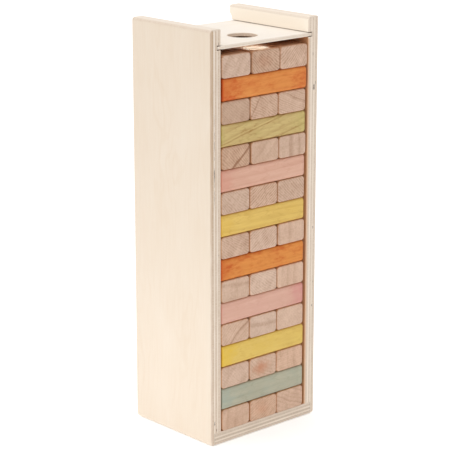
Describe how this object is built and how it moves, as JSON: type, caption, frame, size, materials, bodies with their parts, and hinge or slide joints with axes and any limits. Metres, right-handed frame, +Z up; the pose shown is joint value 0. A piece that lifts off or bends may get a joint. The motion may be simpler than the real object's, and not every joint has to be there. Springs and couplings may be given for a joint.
{
  "type": "tumbling tower game in a storage box",
  "caption": "Wooden tumbling-tower blocks in plain and stained layers, stacked in an open-fronted plywood storage box with a sliding lid.",
  "frame": {"origin": "centre of the box's footprint, on the face it stands on", "axes": "+Z up along the tower's height, -Y out of the box's open front, +X to the right seen from the front"},
  "size_m": [0.096, 0.0787, 0.2815],
  "materials": {
    "birch_ply": "sanded, clear matt",
    "thin_birch_ply": "sanded, clear matt",
    "natural_beech": "sanded, bare",
    "stain_orange": "translucent stain, matt",
    "stain_green": "translucent stain, matt",
    "stain_pink": "translucent stain, matt",
    "stain_yellow": "translucent stain, matt",
    "stain_teal": "translucent stain, matt"
  },
  "bodies": {
    "box": {"left_side_panel": "birch_ply", "right_side_panel": "birch_ply", "bottom_panel": "birch_ply", "back_panel": "thin_birch_ply"},
    "lid": {"sliding_lid": "thin_birch_ply"},
    "layer_01_left": {"layer_01_left_block": "natural_beech"},
    "layer_01_middle": {"layer_01_middle_block": "natural_beech"},
    "layer_01_right": {"layer_01_right_block": "natural_beech"},
    "layer_02_front": {"layer_02_front_block": "stain_teal"},
    "layer_02_middle": {"layer_02_middle_block": "stain_teal"},
    "layer_02_rear": {"layer_02_rear_block": "stain_teal"},
    "layer_03_left": {"layer_03_left_block": "natural_beech"},
    "layer_03_middle": {"layer_03_middle_block": "natural_beech"},
    "layer_03_right": {"layer_03_right_block": "natural_beech"},
    "layer_04_front": {"layer_04_front_block": "stain_yellow"},
    "layer_04_middle": {"layer_04_middle_block": "stain_yellow"},
    "layer_04_rear": {"layer_04_rear_block": "stain_yellow"},
    "layer_05_left": {"layer_05_left_block": "natural_beech"},
    "layer_05_middle": {"layer_05_middle_block": "natural_beech"},
    "layer_05_right": {"layer_05_right_block": "natural_beech"},
    "layer_06_front": {"layer_06_front_block": "stain_pink"},
    "layer_06_middle": {"layer_06_middle_block": "stain_pink"},
    "layer_06_rear": {"layer_06_rear_block": "stain_pink"},
    "layer_07_left": {"layer_07_left_block": "natural_beech"},
    "layer_07_middle": {"layer_07_middle_block": "natural_beech"},
    "layer_07_right": {"layer_07_right_block": "natural_beech"},
    "layer_08_front": {"layer_08_front_block": "stain_orange"},
    "layer_08_middle": {"layer_08_middle_block": "stain_orange"},
    "layer_08_rear": {"layer_08_rear_block": "stain_orange"},
    "layer_09_left": {"layer_09_left_block": "natural_beech"},
    "layer_09_middle": {"layer_09_middle_block": "natural_beech"},
    "layer_09_right": {"layer_09_right_block": "natural_beech"},
    "layer_10_front": {"layer_10_front_block": "stain_yellow"},
    "layer_10_middle": {"layer_10_middle_block": "stain_yellow"},
    "layer_10_rear": {"layer_10_rear_block": "stain_yellow"},
    "layer_11_left": {"layer_11_left_block": "natural_beech"},
    "layer_11_middle": {"layer_11_middle_block": "natural_beech"},
    "layer_11_right": {"layer_11_right_block": "natural_beech"},
    "layer_12_front": {"layer_12_front_block": "stain_pink"},
    "layer_12_middle": {"layer_12_middle_block": "stain_pink"},
    "layer_12_rear": {"layer_12_rear_block": "stain_pink"},
    "layer_13_left": {"layer_13_left_block": "natural_beech"},
    "layer_13_middle": {"layer_13_middle_block": "natural_beech"},
    "layer_13_right": {"layer_13_right_block": "natural_beech"},
    "layer_14_front": {"layer_14_front_block": "stain_green"},
    "layer_14_middle": {"layer_14_middle_block": "stain_green"},
    "layer_14_rear": {"layer_14_rear_block": "stain_green"},
    "layer_15_left": {"layer_15_left_block": "natural_beech"},
    "layer_15_middle": {"layer_15_middle_block": "natural_beech"},
    "layer_15_right": {"layer_15_right_block": "natural_beech"},
    "layer_16_front": {"layer_16_front_block": "stain_orange"},
    "layer_16_middle": {"layer_16_middle_block": "stain_orange"},
    "layer_16_rear": {"layer_16_rear_block": "stain_orange"},
    "layer_17_left": {"layer_17_left_block": "natural_beech"},
    "layer_17_middle": {"layer_17_middle_block": "natural_beech"},
    "layer_17_right": {"layer_17_right_block": "natural_beech"}
  },
  "joints": [
    {"name": "lid_slide", "type": "slide", "parent": "box", "child": "lid", "axis": [0, -1, 0], "range_m": [0, 0.08]},
    {"name": "layer_01_left_slide", "type": "slide", "parent": "box", "child": "layer_01_left", "axis": [0, -1, 0], "range_m": [0, 0.08]},
    {"name": "layer_01_middle_slide", "type": "slide", "parent": "box", "child": "layer_01_middle", "axis": [0, -1, 0], "range_m": [0, 0.08]},
    {"name": "layer_01_right_slide", "type": "slide", "parent": "box", "child": "layer_01_right", "axis": [0, -1, 0], "range_m": [0, 0.08]},
    {"name": "layer_02_front_slide", "type": "slide", "parent": "box", "child": "layer_02_front", "axis": [0, -1, 0], "range_m": [0, 0.08]},
    {"name": "layer_02_middle_slide", "type": "slide", "parent": "box", "child": "layer_02_middle", "axis": [0, -1, 0], "range_m": [0, 0.08]},
    {"name": "layer_02_rear_slide", "type": "slide", "parent": "box", "child": "layer_02_rear", "axis": [0, -1, 0], "range_m": [0, 0.08]},
    {"name": "layer_03_left_slide", "type": "slide", "parent": "box", "child": "layer_03_left", "axis": [0, -1, 0], "range_m": [0, 0.08]},
    {"name": "layer_03_middle_slide", "type": "slide", "parent": "box", "child": "layer_03_middle", "axis": [0, -1, 0], "range_m": [0, 0.08]},
    {"name": "layer_03_right_slide", "type": "slide", "parent": "box", "child": "layer_03_right", "axis": [0, -1, 0], "range_m": [0, 0.08]},
    {"name": "layer_04_front_slide", "type": "slide", "parent": "box", "child": "layer_04_front", "axis": [0, -1, 0], "range_m": [0, 0.08]},
    {"name": "layer_04_middle_slide", "type": "slide", "parent": "box", "child": "layer_04_middle", "axis": [0, -1, 0], "range_m": [0, 0.08]},
    {"name": "layer_04_rear_slide", "type": "slide", "parent": "box", "child": "layer_04_rear", "axis": [0, -1, 0], "range_m": [0, 0.08]},
    {"name": "layer_05_left_slide", "type": "slide", "parent": "box", "child": "layer_05_left", "axis": [0, -1, 0], "range_m": [0, 0.08]},
    {"name": "layer_05_middle_slide", "type": "slide", "parent": "box", "child": "layer_05_middle", "axis": [0, -1, 0], "range_m": [0, 0.08]},
    {"name": "layer_05_right_slide", "type": "slide", "parent": "box", "child": "layer_05_right", "axis": [0, -1, 0], "range_m": [0, 0.08]},
    {"name": "layer_06_front_slide", "type": "slide", "parent": "box", "child": "layer_06_front", "axis": [0, -1, 0], "range_m": [0, 0.08]},
    {"name": "layer_06_middle_slide", "type": "slide", "parent": "box", "child": "layer_06_middle", "axis": [0, -1, 0], "range_m": [0, 0.08]},
    {"name": "layer_06_rear_slide", "type": "slide", "parent": "box", "child": "layer_06_rear", "axis": [0, -1, 0], "range_m": [0, 0.08]},
    {"name": "layer_07_left_slide", "type": "slide", "parent": "box", "child": "layer_07_left", "axis": [0, -1, 0], "range_m": [0, 0.08]},
    {"name": "layer_07_middle_slide", "type": "slide", "parent": "box", "child": "layer_07_middle", "axis": [0, -1, 0], "range_m": [0, 0.08]},
    {"name": "layer_07_right_slide", "type": "slide", "parent": "box", "child": "layer_07_right", "axis": [0, -1, 0], "range_m": [0, 0.08]},
    {"name": "layer_08_front_slide", "type": "slide", "parent": "box", "child": "layer_08_front", "axis": [0, -1, 0], "range_m": [0, 0.08]},
    {"name": "layer_08_middle_slide", "type": "slide", "parent": "box", "child": "layer_08_middle", "axis": [0, -1, 0], "range_m": [0, 0.08]},
    {"name": "layer_08_rear_slide", "type": "slide", "parent": "box", "child": "layer_08_rear", "axis": [0, -1, 0], "range_m": [0, 0.08]},
    {"name": "layer_09_left_slide", "type": "slide", "parent": "box", "child": "layer_09_left", "axis": [0, -1, 0], "range_m": [0, 0.08]},
    {"name": "layer_09_middle_slide", "type": "slide", "parent": "box", "child": "layer_09_middle", "axis": [0, -1, 0], "range_m": [0, 0.08]},
    {"name": "layer_09_right_slide", "type": "slide", "parent": "box", "child": "layer_09_right", "axis": [0, -1, 0], "range_m": [0, 0.08]},
    {"name": "layer_10_front_slide", "type": "slide", "parent": "box", "child": "layer_10_front", "axis": [0, -1, 0], "range_m": [0, 0.08]},
    {"name": "layer_10_middle_slide", "type": "slide", "parent": "box", "child": "layer_10_middle", "axis": [0, -1, 0], "range_m": [0, 0.08]},
    {"name": "layer_10_rear_slide", "type": "slide", "parent": "box", "child": "layer_10_rear", "axis": [0, -1, 0], "range_m": [0, 0.08]},
    {"name": "layer_11_left_slide", "type": "slide", "parent": "box", "child": "layer_11_left", "axis": [0, -1, 0], "range_m": [0, 0.08]},
    {"name": "layer_11_middle_slide", "type": "slide", "parent": "box", "child": "layer_11_middle", "axis": [0, -1, 0], "range_m": [0, 0.08]},
    {"name": "layer_11_right_slide", "type": "slide", "parent": "box", "child": "layer_11_right", "axis": [0, -1, 0], "range_m": [0, 0.08]},
    {"name": "layer_12_front_slide", "type": "slide", "parent": "box", "child": "layer_12_front", "axis": [0, -1, 0], "range_m": [0, 0.08]},
    {"name": "layer_12_middle_slide", "type": "slide", "parent": "box", "child": "layer_12_middle", "axis": [0, -1, 0], "range_m": [0, 0.08]},
    {"name": "layer_12_rear_slide", "type": "slide", "parent": "box", "child": "layer_12_rear", "axis": [0, -1, 0], "range_m": [0, 0.08]},
    {"name": "layer_13_left_slide", "type": "slide", "parent": "box", "child": "layer_13_left", "axis": [0, -1, 0], "range_m": [0, 0.08]},
    {"name": "layer_13_middle_slide", "type": "slide", "parent": "box", "child": "layer_13_middle", "axis": [0, -1, 0], "range_m": [0, 0.08]},
    {"name": "layer_13_right_slide", "type": "slide", "parent": "box", "child": "layer_13_right", "axis": [0, -1, 0], "range_m": [0, 0.08]},
    {"name": "layer_14_front_slide", "type": "slide", "parent": "box", "child": "layer_14_front", "axis": [0, -1, 0], "range_m": [0, 0.08]},
    {"name": "layer_14_middle_slide", "type": "slide", "parent": "box", "child": "layer_14_middle", "axis": [0, -1, 0], "range_m": [0, 0.08]},
    {"name": "layer_14_rear_slide", "type": "slide", "parent": "box", "child": "layer_14_rear", "axis": [0, -1, 0], "range_m": [0, 0.08]},
    {"name": "layer_15_left_slide", "type": "slide", "parent": "box", "child": "layer_15_left", "axis": [0, -1, 0], "range_m": [0, 0.08]},
    {"name": "layer_15_middle_slide", "type": "slide", "parent": "box", "child": "layer_15_middle", "axis": [0, -1, 0], "range_m": [0, 0.08]},
    {"name": "layer_15_right_slide", "type": "slide", "parent": "box", "child": "layer_15_right", "axis": [0, -1, 0], "range_m": [0, 0.08]},
    {"name": "layer_16_front_slide", "type": "slide", "parent": "box", "child": "layer_16_front", "axis": [0, -1, 0], "range_m": [0, 0.08]},
    {"name": "layer_16_middle_slide", "type": "slide", "parent": "box", "child": "layer_16_middle", "axis": [0, -1, 0], "range_m": [0, 0.08]},
    {"name": "layer_16_rear_slide", "type": "slide", "parent": "box", "child": "layer_16_rear", "axis": [0, -1, 0], "range_m": [0, 0.08]},
    {"name": "layer_17_left_slide", "type": "slide", "parent": "box", "child": "layer_17_left", "axis": [0, -1, 0], "range_m": [0, 0.08]},
    {"name": "layer_17_middle_slide", "type": "slide", "parent": "box", "child": "layer_17_middle", "axis": [0, -1, 0], "range_m": [0, 0.08]},
    {"name": "layer_17_right_slide", "type": "slide", "parent": "box", "child": "layer_17_right", "axis": [0, -1, 0], "range_m": [0, 0.08]}
  ],
  "couplings": [
    {"joint": "layer_02_middle_slide", "follows": "layer_02_front_slide", "ratio": 1},
    {"joint": "layer_02_rear_slide", "follows": "layer_02_front_slide", "ratio": 1},
    {"joint": "layer_04_middle_slide", "follows": "layer_04_front_slide", "ratio": 1},
    {"joint": "layer_04_rear_slide", "follows": "layer_04_front_slide", "ratio": 1},
    {"joint": "layer_06_middle_slide", "follows": "layer_06_front_slide", "ratio": 1},
    {"joint": "layer_06_rear_slide", "follows": "layer_06_front_slide", "ratio": 1},
    {"joint": "layer_08_middle_slide", "follows": "layer_08_front_slide", "ratio": 1},
    {"joint": "layer_08_rear_slide", "follows": "layer_08_front_slide", "ratio": 1},
    {"joint": "layer_10_middle_slide", "follows": "layer_10_front_slide", "ratio": 1},
    {"joint": "layer_10_rear_slide", "follows": "layer_10_front_slide", "ratio": 1},
    {"joint": "layer_12_middle_slide", "follows": "layer_12_front_slide", "ratio": 1},
    {"joint": "layer_12_rear_slide", "follows": "layer_12_front_slide", "ratio": 1},
    {"joint": "layer_14_middle_slide", "follows": "layer_14_front_slide", "ratio": 1},
    {"joint": "layer_14_rear_slide", "follows": "layer_14_front_slide", "ratio": 1},
    {"joint": "layer_16_middle_slide", "follows": "layer_16_front_slide", "ratio": 1},
    {"joint": "layer_16_rear_slide", "follows": "layer_16_front_slide", "ratio": 1}
  ]
}
